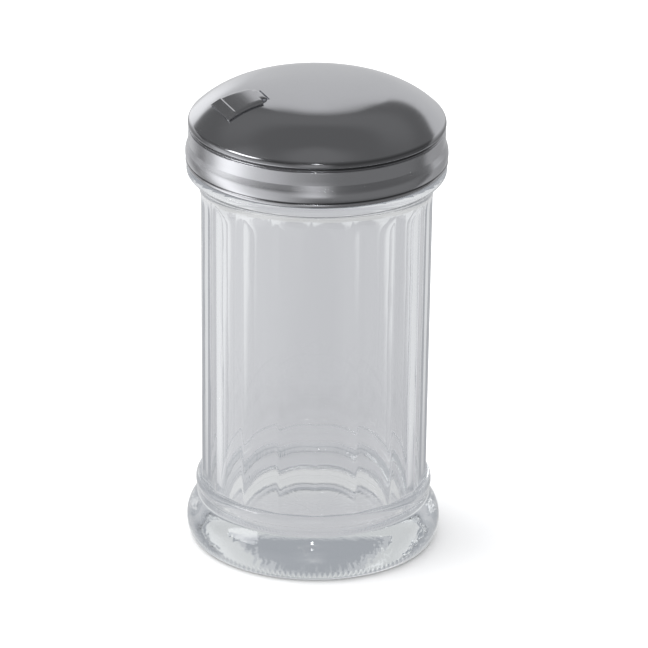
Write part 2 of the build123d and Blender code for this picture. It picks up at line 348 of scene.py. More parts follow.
# %% The panel group
def panel_group():
    """Moves the points of a turned wall out to flat panels."""
    tree, given, out = new_group(
        "flat panels",
        "GeometryNodeTree",
        [
            ("Mesh", SHAPE, None), ("Panels", NUMBER, 18), ("Apothem", NUMBER, 0.03),
            ("Turn", NUMBER, 0), ("Low", NUMBER, 0), ("High", NUMBER, 1), ("Skin", NUMBER, 0.03),
            ("Crowding", NUMBER, 1.8), ("Ridge Softness", NUMBER, 0.0001),
            ("Arch Softness", NUMBER, 0.0001), ("Draft", NUMBER, 0), ("Middle", NUMBER, 0.06),
        ],
        [("Mesh", SHAPE)],
    )
    place = add(tree, "ShaderNodeSeparateXYZ", {0: tree.nodes.new("GeometryNodeInputPosition").outputs[0]})
    x, y, z = place.outputs
    radius = from_axis(tree, x, y)
    pitch = calc(tree, "DIVIDE", 2 * math.pi, given["Panels"])
    # Where the point is between two ridges, from -1 through 0 at a ridge to 1.
    count = calc(tree, "DIVIDE", calc(tree, "ARCTAN2", y, x), pitch)
    ridge = calc(tree, "ROUND", count)
    offset = calc(tree, "MULTIPLY", calc(tree, "SUBTRACT", count, ridge), 2)
    crowded = calc(tree, "POWER", calc(tree, "ABSOLUTE", offset), given["Crowding"])
    drawn = calc(tree, "MULTIPLY", calc(tree, "SIGN", offset), crowded)
    past_ridge = calc(tree, "MULTIPLY", calc(tree, "MULTIPLY", drawn, 0.5), pitch)
    angle = calc(tree, "ADD", calc(tree, "MULTIPLY_ADD", ridge, pitch, past_ridge), given["Turn"])
    half = calc(tree, "MULTIPLY", pitch, 0.5)
    above_middle = calc(tree, "SUBTRACT", z, given["Middle"])
    apothem = calc(tree, "MULTIPLY_ADD", above_middle, given["Draft"], given["Apothem"])
    planes = [
        calc(tree, "DIVIDE", apothem, calc(tree, "COSINE", calc(tree, side, half, past_ridge)))
        for side in ("SUBTRACT", "ADD")
    ]
    flat = calc(tree, "SMOOTH_MIN", *planes, given["Ridge Softness"])
    panelled = calc(tree, "SMOOTH_MAX", radius, flat, given["Arch Softness"])
    panel_zone = between(tree, z, given["Low"], given["High"])
    on_skin = calc(tree, "MULTIPLY", panel_zone, calc(tree, "GREATER_THAN", radius, given["Skin"]))
    mix = {"Factor": on_skin, "A": radius, "B": panelled}
    reach = add(tree, "ShaderNodeMix", mix).outputs["Result"]
    moved = add(
        tree,
        "ShaderNodeCombineXYZ",
        {
            "X": calc(tree, "MULTIPLY", reach, calc(tree, "COSINE", angle)),
            "Y": calc(tree, "MULTIPLY", reach, calc(tree, "SINE", angle)),
            "Z": z,
        },
    )
    new_place = {"Geometry": given["Mesh"], "Position": moved.outputs[0]}
    placed = add(tree, "GeometryNodeSetPosition", new_place)
    feed(tree, out["Mesh"], placed.outputs["Geometry"])
    return tree


flat_panels = panel_group()
print("panel rule has", len(flat_panels.nodes), "nodes")

# %% [markdown]
# ## The rule of a thread
# A screw thread on a glass neck is a low rounded ridge that climbs as it goes round. It needs no
# swept curve: the height of a point and its angle tell how far it is from the ridge's middle, and the
# point moves out by a bell-shaped amount. The ridge fades out at both of its ends.

# %% The thread group
def thread_group():
    """Raises a helical ridge on the points between two distances from the axis."""
    tree, given, out = new_group(
        "thread",
        "GeometryNodeTree",
        [
            ("Mesh", SHAPE, None), ("Start", NUMBER, 0), ("Pitch", NUMBER, 0.005),
            ("Turns", NUMBER, 1.3), ("Height", NUMBER, 0.001), ("Half Width", NUMBER, 0.001),
            ("Inner", NUMBER, 0), ("Outer", NUMBER, 1),
        ],
        [("Mesh", SHAPE)],
    )
    place = add(tree, "ShaderNodeSeparateXYZ", {0: tree.nodes.new("GeometryNodeInputPosition").outputs[0]})
    x, y, z = place.outputs
    radius = from_axis(tree, x, y)
    turn = calc(tree, "FRACT", calc(tree, "DIVIDE", calc(tree, "ARCTAN2", y, x), 2 * math.pi))
    climbed = calc(tree, "DIVIDE", calc(tree, "SUBTRACT", z, given["Start"]), given["Pitch"])
    lap = calc(tree, "ROUND", calc(tree, "SUBTRACT", climbed, turn))
    progress = calc(tree, "ADD", lap, turn)
    away = calc(tree, "MULTIPLY", calc(tree, "SUBTRACT", climbed, progress), given["Pitch"])
    from_middle = calc(tree, "ABSOLUTE", calc(tree, "DIVIDE", away, given["Half Width"]))
    inward = calc(tree, "SUBTRACT", 1, from_middle)
    left = calc(tree, "SUBTRACT", given["Turns"], progress)
    fade = calc(tree, "MINIMUM", calc(tree, "MULTIPLY", progress, 10), calc(tree, "MULTIPLY", left, 10))
    nearest = calc(tree, "MINIMUM", inward, fade)
    bell = ramp(tree, nearest, 0.0, 1.0, kind="SMOOTHERSTEP")
    on_skin = between(tree, radius, given["Inner"], given["Outer"])
    out_by = calc(tree, "MULTIPLY", calc(tree, "MULTIPLY", bell, given["Height"]), on_skin)
    scale = calc(tree, "DIVIDE", calc(tree, "ADD", radius, out_by), calc(tree, "MAXIMUM", radius, 1e-6))
    moved = add(
        tree,
        "ShaderNodeCombineXYZ",
        {"X": calc(tree, "MULTIPLY", x, scale), "Y": calc(tree, "MULTIPLY", y, scale), "Z": z},
    )
    new_place = {"Geometry": given["Mesh"], "Position": moved.outputs[0]}
    placed = add(tree, "GeometryNodeSetPosition", new_place)
    feed(tree, out["Mesh"], placed.outputs["Geometry"])
    return tree


raise_thread = thread_group()
print("thread rule has", len(raise_thread.nodes), "nodes")


def finish_tree(tree, mesh, given, out):
    """The end of every tree: real geometry, smooth shading and its finish."""
    real = add(tree, "GeometryNodeRealizeInstances", {"Geometry": mesh})
    smooth = add(tree, "GeometryNodeSetShadeSmooth", {"Geometry": real.outputs[0]})
    finish = {"Geometry": smooth.outputs[0], "Material": given["Finish"]}
    feed(tree, out["Mesh"], add(tree, "GeometryNodeSetMaterial", finish).outputs[0])


def nested(tree, group, inputs):
    """A node group placed in a tree."""
    node = add(tree, "GeometryNodeGroup", node_tree=group)
    for name, value in inputs.items():
        feed(tree, node.inputs[name], value)
    return node.outputs[0]


# %% [markdown]
# ## Effects that several finishes share
# A maker's sheet of steel carries fine lines that run round it from polishing on a lathe, and faint
# smudges from hands. Both are node groups with named inputs, placed in each material with its own
# values. They read Object coordinates, in millimetres, so a pattern keeps its real size.

# %% Shader groups
def around_axis(tree, scale=1 / mm):
    """Distance from the axis, angle and height of a shaded point, in millimetres and radians."""
    place = add(tree, "ShaderNodeTexCoord").outputs["Object"]
    x, y, z = add(tree, "ShaderNodeSeparateXYZ", {0: place}).outputs
    radius = from_axis(tree, x, y)
    angle = calc(tree, "ARCTAN2", y, x)
    return calc(tree, "MULTIPLY", radius, scale), angle, calc(tree, "MULTIPLY", z, scale)


def lathe_lines_group():
    """Fine lines that run round the axis: a value from 0 to 1."""
    tree, given, out = new_group(
        "lathe lines",
        "ShaderNodeTree",
        [("Lines per mm", NUMBER, 6), ("Along", NUMBER, 2), ("Contrast", NUMBER, 1)],
        [("Lines", NUMBER)],
    )
    radius, angle, height = around_axis(tree)
    spot = add(
        tree,
        "ShaderNodeCombineXYZ",
        {
            "X": calc(tree, "MULTIPLY", radius, given["Lines per mm"]),
            "Y": calc(tree, "MULTIPLY", calc(tree, "SINE", angle), given["Along"]),
            "Z": calc(tree, "MULTIPLY", height, given["Lines per mm"]),
        },
    )
    grain = {"Vector": spot.outputs[0], "Scale": 1.0, "Detail": 3.0, "Roughness": 0.7}
    noise = add(tree, "ShaderNodeTexNoise", grain)
    level = ramp(tree, noise.outputs[0], 0.3, 0.7)
    feed(tree, out["Lines"], calc(tree, "POWER", level, given["Contrast"]))
    return tree


def smudge_group():
    """Soft cloudy patches and a few clear ones, as hands leave them: a value from 0 to 1."""
    tree, given, out = new_group(
        "smudges", "ShaderNodeTree", [("Size", NUMBER, 12), ("Cover", NUMBER, 0.5)], [("Smudge", NUMBER)]
    )
    place = add(tree, "ShaderNodeTexCoord").outputs["Object"]
    spot = add(tree, "ShaderNodeVectorMath", {0: place}, operation="SCALE")
    feed(tree, spot.inputs["Scale"], calc(tree, "DIVIDE", 1 / mm, given["Size"]))
    noise = add(
        tree,
        "ShaderNodeTexNoise",
        {"Vector": spot.outputs[0], "Scale": 1.0, "Detail": 4.0, "Roughness": 0.55, "Distortion": 0.4},
    )
    low = calc(tree, "SUBTRACT", 0.8, given["Cover"])
    high = calc(tree, "ADD", low, 0.35)
    patches = ramp(tree, noise.outputs[0], low, high, kind="SMOOTHSTEP")
    feed(tree, out["Smudge"], patches)
    return tree


lathe_lines, smudges = lathe_lines_group(), smudge_group()
print("lathe lines", len(lathe_lines.nodes), "nodes, smudges", len(smudges.nodes), "nodes")


def shader_group(tree, group, **inputs):
    """A shared effect placed in a material."""
    node = add(tree, "ShaderNodeGroup", node_tree=group)
    for label, value in inputs.items():
        socket = next(s for s in node.inputs if s.name.lower().replace(" ", "_") == label)
        feed(tree, socket, value)
    return node.outputs[0]


def material(name):
    """An empty material: its tree, its Principled shader and its output."""
    made = bpy.data.materials.new(name)
    made.use_nodes = True
    tree = made.node_tree
    shader = next(node for node in tree.nodes if node.type == "BSDF_PRINCIPLED")
    output = next(node for node in tree.nodes if node.type == "OUTPUT_MATERIAL")
    return made, tree, shader, output


def blend(tree, share, first, second):
    """A colour on its way from one to another."""
    node = add(tree, "ShaderNodeMix", {"Factor": share}, data_type="RGBA")
    node.inputs[6].default_value = (*first, 1)
    node.inputs[7].default_value = (*second, 1)
    return node.outputs[2]


# %% [markdown]
# ## Pressed glass
# Clear glass has hardly any finish of its own: what shows is what it bends and mirrors. Pressed glass
# isn't optically flat, though. Its skin has a slow ripple from the mould and the plunger, and the
# standing ring has a row of tiny bars that keep the hot jar off the belt. Both are bumps here, because
# they are far finer than the mesh. Thick glass is faintly green, which absorption inside it gives.
# A glass body also blocks lamps in a ray tracer far more than a real jar does, so shadow rays pass.
# Light that is caught in the thick foot is mirrored again and again, and a ray tracer gives it up as
# black after a few turns. There the glass paints a pale grey glow, in place of the light that those last
# rays would have found in the end.

# %% Glass
knurl_count, knurl_depth, ripple_depth = 150, 0.12, 0.05
most_bounces, most_mirrorings = 12.5, 4.5
caught_light, shadow_light = (0.4, 0.41, 0.44), (0.58, 0.58, 0.58)
glass_tint, glass_bending = (0.995, 0.997, 0.997), 1.52
depth_tint, depth_density = (0.78, 0.86, 0.87), 5.0


def glass_material():
    """Clear pressed glass with a mould ripple, a barred standing ring and a faint green depth."""
    made, tree, shader, output = material("pressed_glass")
    radius, angle, height = around_axis(tree)
    spot = add(
        tree,
        "ShaderNodeCombineXYZ",
        {
            "X": calc(tree, "MULTIPLY", calc(tree, "SINE", angle), 7.0),
            "Y": calc(tree, "MULTIPLY", calc(tree, "COSINE", angle), 7.0),
            "Z": calc(tree, "MULTIPLY", height, 0.035),
        },
    )
    ripple = add(tree, "ShaderNodeTexNoise", {"Vector": spot.outputs[0], "Scale": 1.0, "Detail": 2.0})
    bars = calc(tree, "SINE", calc(tree, "MULTIPLY", angle, knurl_count))
    near_table = ramp(tree, height, 3.2, 1.2)
    on_ring = ramp(tree, radius, stand_inner, stand_inner + 1)
    knurl = calc(tree, "MULTIPLY", calc(tree, "MULTIPLY", bars, near_table), on_ring)
    waves = {"Height": ripple.outputs[0], "Distance": ripple_depth * mm, "Strength": 1.0}
    first = add(tree, "ShaderNodeBump", waves).outputs[0]
    ridges = {"Height": knurl, "Distance": knurl_depth * mm, "Normal": first}
    feed(tree, shader.inputs["Normal"], add(tree, "ShaderNodeBump", ridges).outputs[0])
    shader.inputs["Base Color"].default_value = (*glass_tint, 1)
    shader.inputs["Roughness"].default_value = 0.0
    shader.inputs["IOR"].default_value = glass_bending
    shader.inputs["Transmission Weight"].default_value = 1.0
    clear = add(tree, "ShaderNodeBsdfTransparent")
    clear.inputs["Color"].default_value = (*shadow_light, 1)
    path = add(tree, "ShaderNodeLightPath").outputs
    deep = calc(tree, "GREATER_THAN", path["Ray Depth"], most_bounces)
    mirrored = calc(tree, "GREATER_THAN", path["Glossy Depth"], most_mirrorings)
    # Painted glow: glass that has mirrored a ray too often emits pale grey.
    caught = calc(tree, "MAXIMUM", deep, mirrored)
    feed(tree, shader.inputs["Emission Color"], blend(tree, caught, (0, 0, 0), caught_light))
    shader.inputs["Emission Strength"].default_value = 1.0
    sides = {0: path["Is Shadow Ray"], 1: shader.outputs[0], 2: clear.outputs[0]}
    feed(tree, output.inputs["Surface"], add(tree, "ShaderNodeMixShader", sides).outputs[0])
    depth = add(tree, "ShaderNodeVolumeAbsorption")
    depth.inputs["Color"].default_value = (*depth_tint, 1)
    depth.inputs["Density"].default_value = depth_density
    feed(tree, output.inputs["Volume"], depth.outputs[0])
    return made


pressed_glass = glass_material()
print("glass finish has", len(pressed_glass.node_tree.nodes), "nodes")

# %% [markdown]
# ## The jar
# The spun outline, the panels and the neck's thread follow one another in a single tree. The jar
# replaces its CAD node, because glass shows every facet, and because the ring and the foot want softer
# joins than a solid model has. Its mesh stays just below 200,000 triangles: rows are spent where the
# outline turns, and the straight wall has few.

# %% Build the jar
thread_gap, thread_height, thread_half_width = 3.2, 1.25, 1.5


def jar_tree():
    """Outline to finished jar."""
    tree, given, out = new_group(
        "panelled jar",
        "GeometryNodeTree",
        [
            ("Outline", SHAPE, None), ("Columns", WHOLE, 360), ("Panels", NUMBER, panel_count),
            ("Apothem", NUMBER, panel_apothem * mm), ("Turn", NUMBER, math.radians(panel_turn)),
            ("Low", NUMBER, ring_height * mm), ("High", NUMBER, collar_low * mm),
            ("Finish", FINISH, None),
        ],
        [("Mesh", SHAPE)],
    )
    mesh = nested(tree, spin_outline, {"Outline": given["Outline"], "Columns": given["Columns"]})
    panelled = nested(
        tree,
        flat_panels,
        {
            "Mesh": mesh, "Panels": given["Panels"], "Apothem": given["Apothem"],
            "Turn": given["Turn"], "Low": given["Low"], "High": given["High"],
            "Skin": (wall_radius - 0.3) * mm, "Ridge Softness": ridge_softness * mm,
            "Arch Softness": arch_softness * mm, "Draft": panel_draft, "Middle": draft_middle * mm,
        },
    )
    threaded = nested(
        tree,
        raise_thread,
        {
            "Mesh": panelled, "Start": (collar_high + thread_gap) * mm,
            "Height": thread_height * mm, "Half Width": thread_half_width * mm,
            "Inner": (neck_radius - 0.4) * mm, "Outer": (neck_radius + 0.4) * mm,
        },
    )
    finish_tree(tree, threaded, given, out)
    return tree


jar = outline_object("jar_glass", jar_outline)
grow(jar, jar_tree(), finish=pressed_glass)


def edges_from_angle(piece, degrees):
    """Shades a piece smooth, apart from edges that turn by more than an angle."""
    piece.data.shade_smooth()
    piece.data.set_sharp_from_angle(angle=math.radians(degrees))


def face_outwards(piece, far_point):
    """Turns the faces round if the one nearest a point outside looks away from it."""
    nearest = min(piece.data.polygons, key=lambda face: (face.center - far_point).length)
    if nearest.normal.dot(far_point - nearest.center) < 0:
        piece.data.flip_normals()


far_point = Vector((1, 0, 0.06))
face_outwards(jar, far_point)
edges_from_angle(jar, 40)
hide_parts("jar")
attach(jar, "jar")
print("jar glass box", [round(c / mm, 2) for c in jar.dimensions])

# %% [markdown]
# ## Steel sheet
# The lid is pressed from stainless sheet. Its dome is polished nearly to a mirror, and its skirt keeps
# more of the lathe's lines, so lights draw out along it. Anisotropy gives that stretch at no cost in
# detail, with a tangent that runs round the axis. Lines and smudges then vary the roughness a little.
# Where the sheet is folded, at the rolled edge and under the rim, a dark line of painted shade is laid
# into the colour, where the folds shade themselves. Each band is a height, a reach and a depth, and they
# darken the colour.

# %% Steel
lid_foot = collar_high + 0.35
skirt_line, skirt_blend, skirt_brushing = lid_foot + 12.2, 1.4, 1.7
# Painted shade at the folds: height, reach and depth of each dark band in the steel's colour.
painted_shade_bands = [
    (lid_foot, 0.5, 0.9),           # under the rolled edge
    (lid_foot + 1.55, 0.35, 0.8),   # over the rolled edge
    (lid_foot + 11.3, 0.48, 0.9),   # the groove under the rim
    (lid_foot + 12.8, 0.95, 0.6),   # the foot of the rim
]
# The colour of the painted shade, and the steel's own colour.
painted_shade_colour, steel_colour = (0.04, 0.04, 0.043), (0.6, 0.603, 0.625)


def steel_material(name, roughness, lines_depth, anisotropy):
    """Stainless steel turned on a lathe, with bands of painted shade at its folds."""
    made, tree, shader, output = material(name)
    lines = shader_group(tree, lathe_lines, lines_per_mm=5.0, along=1.5)
    coarse = shader_group(tree, lathe_lines, lines_per_mm=1.3, along=0.8)
    smudge = shader_group(tree, smudges, size=11.0, cover=0.45)
    rough = calc(tree, "MULTIPLY_ADD", lines, roughness * 0.35, roughness)
    rough = calc(tree, "MULTIPLY_ADD", smudge, roughness * 0.3, rough)
    height = around_axis(tree)[2]
    above_skirt = skirt_line + skirt_blend
    on_skirt = ramp(tree, height, above_skirt, skirt_line, 1.0, skirt_brushing, "SMOOTHSTEP")
    feed(tree, shader.inputs["Roughness"], calc(tree, "MULTIPLY", rough, on_skirt))
    shade = 1
    # Each band darkens the base colour with painted shade.
    for level, reach, depth in painted_shade_bands:
        away = calc(tree, "ABSOLUTE", calc(tree, "SUBTRACT", height, level))
        shade = calc(tree, "MULTIPLY", ramp(tree, away, reach * 0.4, reach, 1 - depth), shade)
    feed(tree, shader.inputs["Base Color"], blend(tree, shade, painted_shade_colour, steel_colour))
    fine = {"Height": lines, "Distance": lines_depth * mm, "Strength": 1.0}
    first = add(tree, "ShaderNodeBump", fine).outputs[0]
    broad = {"Height": coarse, "Distance": lines_depth * 1.5 * mm, "Normal": first}
    feed(tree, shader.inputs["Normal"], add(tree, "ShaderNodeBump", broad).outputs[0])
    feed(tree, shader.inputs["Tangent"], add(tree, "ShaderNodeTangent", axis="Z").outputs[0])
    shader.inputs["Metallic"].default_value = 1.0
    shader.inputs["Anisotropic"].default_value = anisotropy
    return made


dome_steel = steel_material("polished_steel", 0.1, 0.0004, 0.3)
print("steel finish has", len(dome_steel.node_tree.nodes), "nodes,", len(painted_shade_bands), "painted_shade_bands")

# %% [markdown]
# ## The lid's outline
# The sheet starts in a rolled edge. Over it a band bulges and steps in, and the skirt stands straight
# up to a small groove. Over the groove the dome turns over at its rim, and three arcs that share their
# tangents carry it to the middle. The inside follows one sheet's thickness behind.

# %% Outline of the lid
sheet = 0.5
skirt_radius = neck_radius + 2.1 + sheet
curl_radius, curl_reach = 0.9, 0.74
curl_height = lid_foot + 0.75
band_step, band_flare, band_tuck = 0.45, 0.82, 0.6
band_height, band_middle, step_height = 4.5, 2.0, 1.5
skirt_top = curl_height + 10.0
groove_floor = skirt_radius - 0.55
rim_round, rim_under_round = 2.2, 0.6
rim_radius, rim_height = skirt_radius + 0.1, skirt_top + 1.5
fall = math.sin(math.radians(45))
shoulder, crown_radius = 28.1, 140.0
dome_foot = rim_radius - rim_round * (1 - fall)
turn_x = dome_foot - shoulder * fall
turn_z = rim_height + (rim_round - shoulder) * fall
crown_angle = math.asin(turn_x / (crown_radius - shoulder))
crown_edge = crown_radius * math.sin(crown_angle)
crown_centre = turn_z - (crown_radius - shoulder) * math.cos(crown_angle)


def dome_arcs(foot, below, steps):
    """The dome from its foot up to the axis, a set distance below its outside."""
    start = math.degrees(math.acos((foot - turn_x) / (shoulder - below)))
    turn = 90 - math.degrees(crown_angle)
    lower = arc((turn_x, turn_z), shoulder - below, shoulder - below, start, turn - start, steps)
    upper = arc((0, crown_centre), crown_radius - below, crown_radius - below, turn, 90 - turn, steps)
    return chain(lower, upper)


def dome_height(radius):
    """Height of the dome's outside at a distance from the axis."""
    if radius < crown_edge:
        return crown_centre + math.sqrt(crown_radius**2 - radius**2)
    return turn_z + math.sqrt(shoulder**2 - (radius - turn_x) ** 2)


band_top = curl_height + band_height
step_top = band_top + step_height
inner_skirt = skirt_radius - sheet
band_foot = (skirt_radius + band_tuck, curl_height + 0.8)
band_crest = (skirt_radius + band_flare, curl_height + band_middle)
band = arc_through(band_foot, band_crest, (skirt_radius + band_step, band_top), 18)
step_corners = [band[-1], (skirt_radius + 0.02, step_top - 0.1), (skirt_radius, step_top + 1)]
rim_under = arc((rim_radius - rim_under_round, rim_height), rim_under_round, rim_under_round, -50, 50, 8)
rim = arc((rim_radius - rim_round, rim_height), rim_round, rim_round, 0, 45, 12)
under_rim = [
    (skirt_radius - 0.35, skirt_top + 0.02),
    (groove_floor, (skirt_top + rim_under[0][1]) / 2),
    rim_under[0],
]
outer_sheet = chain(
    band[:-1],
    eased([band[-2], *step_corners], 0.45, 5)[1:],
    evenly((skirt_radius, step_top + 1), (skirt_radius, skirt_top - 0.35), 6),
    arc((skirt_radius - 0.3, skirt_top - 0.3), 0.3, 0.3, 0, 90, 6),
    arc_through(*under_rim, 8),
    rim_under,
    rim,
    dome_arcs(dome_foot, 0, 44),
)
curl_centre = (skirt_radius + curl_reach - curl_radius, lid_foot + curl_radius)
curl = arc(curl_centre, curl_radius, curl_radius, 150, 250, 26)
inner_dome = dome_arcs(groove_floor - sheet, sheet, 30)
inner_rows = evenly((inner_skirt, step_top + 0.2), (inner_skirt, skirt_top - 2 * sheet), 22)
inner_corner = eased([inner_dome[0], (groove_floor - sheet, skirt_top), inner_rows[-1]], 0.4, 4)
inner_band = [(inner_skirt + band_step, band_top), (inner_skirt + band_flare - 0.15, band_crest[1])]
inner_foot = eased([inner_rows[0], *inner_band, curl[0]], 0.5, 4)
inside_sheet = chain(inner_dome[::-1], inner_corner[1:-1], inner_rows[::-1], inner_foot[1:-1])
lid_outline = chain(inside_sheet, curl, outer_sheet)
print("lid outline", len(lid_outline), "points, crown at", round(crown_centre + crown_radius, 2), "mm")

# %% [markdown]
# ## The lid
# The lid is spun like the jar, and the inside of its skirt gets the thread's partner. The slot for the
# flap's tongue and the pour hole are punched through the sheet, so a Boolean cuts them after spinning.

# %% Build the lid
hole_end = neck_inner - 1.3
hole_length, hole_width, hole_corner, web_width = 8.6, 9.6, 1.6, 2.0
web_edge = hole_end - hole_length - web_width
tab_width, bend_radius = 7.0, 0.6
slot_width, slot_length = bend_radius + sheet + 0.6, tab_width + 0.6


def lid_tree():
    """Outline to finished lid, before its holes."""
    tree, given, out = new_group(
        "turned lid",
        "GeometryNodeTree",
        [("Outline", SHAPE, None), ("Columns", WHOLE, 288), ("Finish", FINISH, None)],
        [("Mesh", SHAPE)],
    )
    mesh = nested(tree, spin_outline, {"Outline": given["Outline"], "Columns": given["Columns"]})
    threaded = nested(
        tree,
        raise_thread,
        {
            "Mesh": mesh, "Start": (step_top - 0.6) * mm, "Turns": 0.8,
            "Height": -0.4 * mm, "Half Width": 1.2 * mm,
            "Inner": (inner_skirt - 0.1) * mm, "Outer": (inner_skirt + 0.1) * mm,
        },
    )
    finish_tree(tree, threaded, given, out)
    return tree


def punch(name, middle, length, width, corner):
    """A prism over the dome that cuts a rounded opening. The flap's side is towards -X."""
    half_length, half_width = length / 2 - corner, width / 2 - corner
    outline = []
    for side, (along, over) in enumerate(((1, 1), (-1, 1), (-1, -1), (1, -1))):
        centre = (middle + along * half_length, over * half_width)
        outline += arc(centre, corner, corner, 90 * side, 90, 8)
    levels = (rim_height, crown_centre + crown_radius + 2)
    count = len(outline)
    mesh = bpy.data.meshes.new(name)
    places = [(-u * mm, v * mm, level * mm) for level in levels for u, v in outline]
    sides = [(i, (i + 1) % count, count + (i + 1) % count, count + i) for i in range(count)]
    mesh.from_pydata(places, [], [*sides, tuple(range(count))[::-1], tuple(range(count, 2 * count))])
    cutter = bpy.data.objects.new(name, mesh)
    scene.collection.objects.link(cutter)
    face_outwards(cutter, far_point * -1)
    return cutter


lid = outline_object("lid_steel", lid_outline)
grow(lid, lid_tree(), finish=dome_steel)
face_outwards(lid, Vector((0, 0, 1)))
cutters = [
    punch("cut_slot", web_edge - slot_width / 2, slot_width, slot_length, 0.15),
    punch("cut_hole", hole_end - hole_length / 2, hole_length, hole_width, hole_corner),
]
for cutter in cutters:
    modifier = lid.modifiers.new(cutter.name, "BOOLEAN")
    modifier.object = cutter
    modifier.operation = "DIFFERENCE"
    modifier.solver = "EXACT"
plain(lid)
for cutter in cutters:
    bpy.data.objects.remove(cutter)
edges_from_angle(lid, 32)
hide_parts("lid")
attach(lid, "lid")
print("lid box", [round(c / mm, 2) for c in lid.dimensions])

# %% [markdown]
# ## The flap
# The flap is one strip of the same sheet: a tongue with a small cross-head, a tight bend over the edge
# of the slot, a leaf that follows the dome, a double crease and a lip. It's laid out as a flat pattern,
# as a die would cut it. Each point then knows its distance along the strip, and the strip's side view
# says where that distance goes. The sheet gets its thickness and its eased edges while it is flat, where
# a bevel stays clean, and only then is it bent. Its long sides are turned down last, as far as the dome
# leaves room. Those eased edges are what catches the light.

# %% Side view of the flap
hinge = Vector((web_edge, dome_height(web_edge) - sheet / 2))
tab_drop, head_ear, head_height = 2.9, 1.2, 1.1
flap_reach = hole_end + 1.6
flap_crease = flap_reach - 2.8
leaf_start = web_edge + 0.8
slope = math.asin(web_edge / crown_radius)
crease = Vector((flap_crease, dome_height(flap_crease) + 0.24))
fold = crease + Vector((0.4, 0.08))
free_end = Vector((flap_reach, dome_height(flap_reach) + 0.22))


def tangent_arc(start, direction, end, steps):
    """Points on the arc that leaves one point in a direction and reaches another."""
    square = Vector((-direction.y, direction.x)).normalized()
    across = end - start
    radius = across.length_squared / (2 * across.dot(square))
    centre = start + square * radius
    first = math.degrees(math.atan2(start.y - centre.y, start.x - centre.x))
    last = math.degrees(math.atan2(end.y - centre.y, end.x - centre.x))
    turn = (last - first + 180) % 360 - 180
    return arc(tuple(centre), abs(radius), abs(radius), first, turn, steps)


bend = arc(tuple(hinge), bend_radius, bend_radius, 180, -90 - math.degrees(slope), 16)
leaf_direction = Vector((math.cos(slope), -math.sin(slope)))
leaf_curve = tangent_arc(Vector(bend[-1]), leaf_direction, crease, 30)
side_path = chain(
    evenly((hinge.x - bend_radius, hinge.y - tab_drop), bend[0], 8),
    bend,
    leaf_curve[:-2],
    eased([leaf_curve[-2], tuple(crease), tuple(fold), tuple(fold.lerp(free_end, 0.3))], 0.12, 4),
    evenly(tuple(fold.lerp(free_end, 0.4)), tuple(free_end), 6),
)
lengths = [0.0]
for before, after in zip(side_path, side_path[1:]):
    lengths.append(lengths[-1] + math.dist(before, after))
print("flap strip", len(side_path), "points,", round(lengths[-1], 2), "mm long")

# %% Build the flap
leaf_half = hole_width / 2 + 1.2
free_half = leaf_half + 0.85
flap_corner = 0.6
turned_width, turned_depth, dome_gap = 1.2, 0.75, 0.06
side_cuts = [0, 2, 4, 5, 5.3, 5.6, 5.9, 6.2, 6.5]


def length_at(test):
    """Distance along the strip to the first point of its side view that passes a test."""
    return next(along for along, point in zip(lengths, side_path) if test(point))


leaf_from = length_at(lambda point: point[0] > leaf_start)
strip_end = lengths[-1]


def widening(along):
    """How much wider half of the leaf is here than where it starts."""
    return (free_half - leaf_half) * max(along - leaf_from, 0) / (strip_end - leaf_from)


def flat_pattern():
    """One half of the flat strip's outline, as (distance along, distance out from the middle)."""
    neck_half, head_half = tab_width / 2, tab_width / 2 + head_ear
    corner = arc((strip_end - flap_corner, free_half - flap_corner), flap_corner, flap_corner, 90, -90, 6)
    head = eased([(0, 0.5), (0, head_half), (head_height, head_half), (head_height, neck_half)], 0.15, 3)
    shoulder_of_leaf = [(leaf_from - 1, neck_half), (leaf_from, neck_half), (leaf_from, leaf_half)]
    leaf = eased([*shoulder_of_leaf, (strip_end / 2 + 4, leaf_half)], 0.2, 3)
    sides = [(along, out + widening(along)) for along, out in leaf[1:-1]]
    return chain(head[1:], sides, corner)


def bent_place(along, above):
    """Where a point of the flat strip goes: along the side view, and a distance above its underside."""
    along = min(max(along, 0), strip_end)
    place = next(k for k in range(1, len(lengths)) if lengths[k] >= along - 1e-9)
    share = (along - lengths[place - 1]) / (lengths[place] - lengths[place - 1])
    tangents = []
    for k in (place - 1, place):
        before, after = side_path[max(k - 1, 0)], side_path[min(k + 1, len(side_path) - 1)]
        tangents.append((Vector(after) - Vector(before)).normalized())
    tangent = tangents[0].lerp(tangents[1], share).normalized()
    foot = Vector(side_path[place - 1]).lerp(Vector(side_path[place]), share)
    return foot + Vector((-tangent.y, tangent.x)) * above


def side_drop(along, aside):
    """How far a point of the leaf's long sides is turned down, without touching the dome."""
    half = leaf_half + widening(along)
    past = max(abs(aside) - half + turned_width, 0) / turned_width
    if along < leaf_from or past == 0:
        return 0
    underside = bent_place(along, 0)
    room = underside.y - dome_height(math.hypot(underside.x, aside)) - dome_gap
    return max(min(turned_depth * past**2, room), 0)


def cut_across(shape, point, normal):
    """Cuts the flat sheet along a plane, so that it has a row of points to bend at."""
    everything = shape.verts[:] + shape.edges[:] + shape.faces[:]
    bmesh.ops.bisect_plane(shape, geom=everything, plane_co=point, plane_no=normal, dist=1e-4)


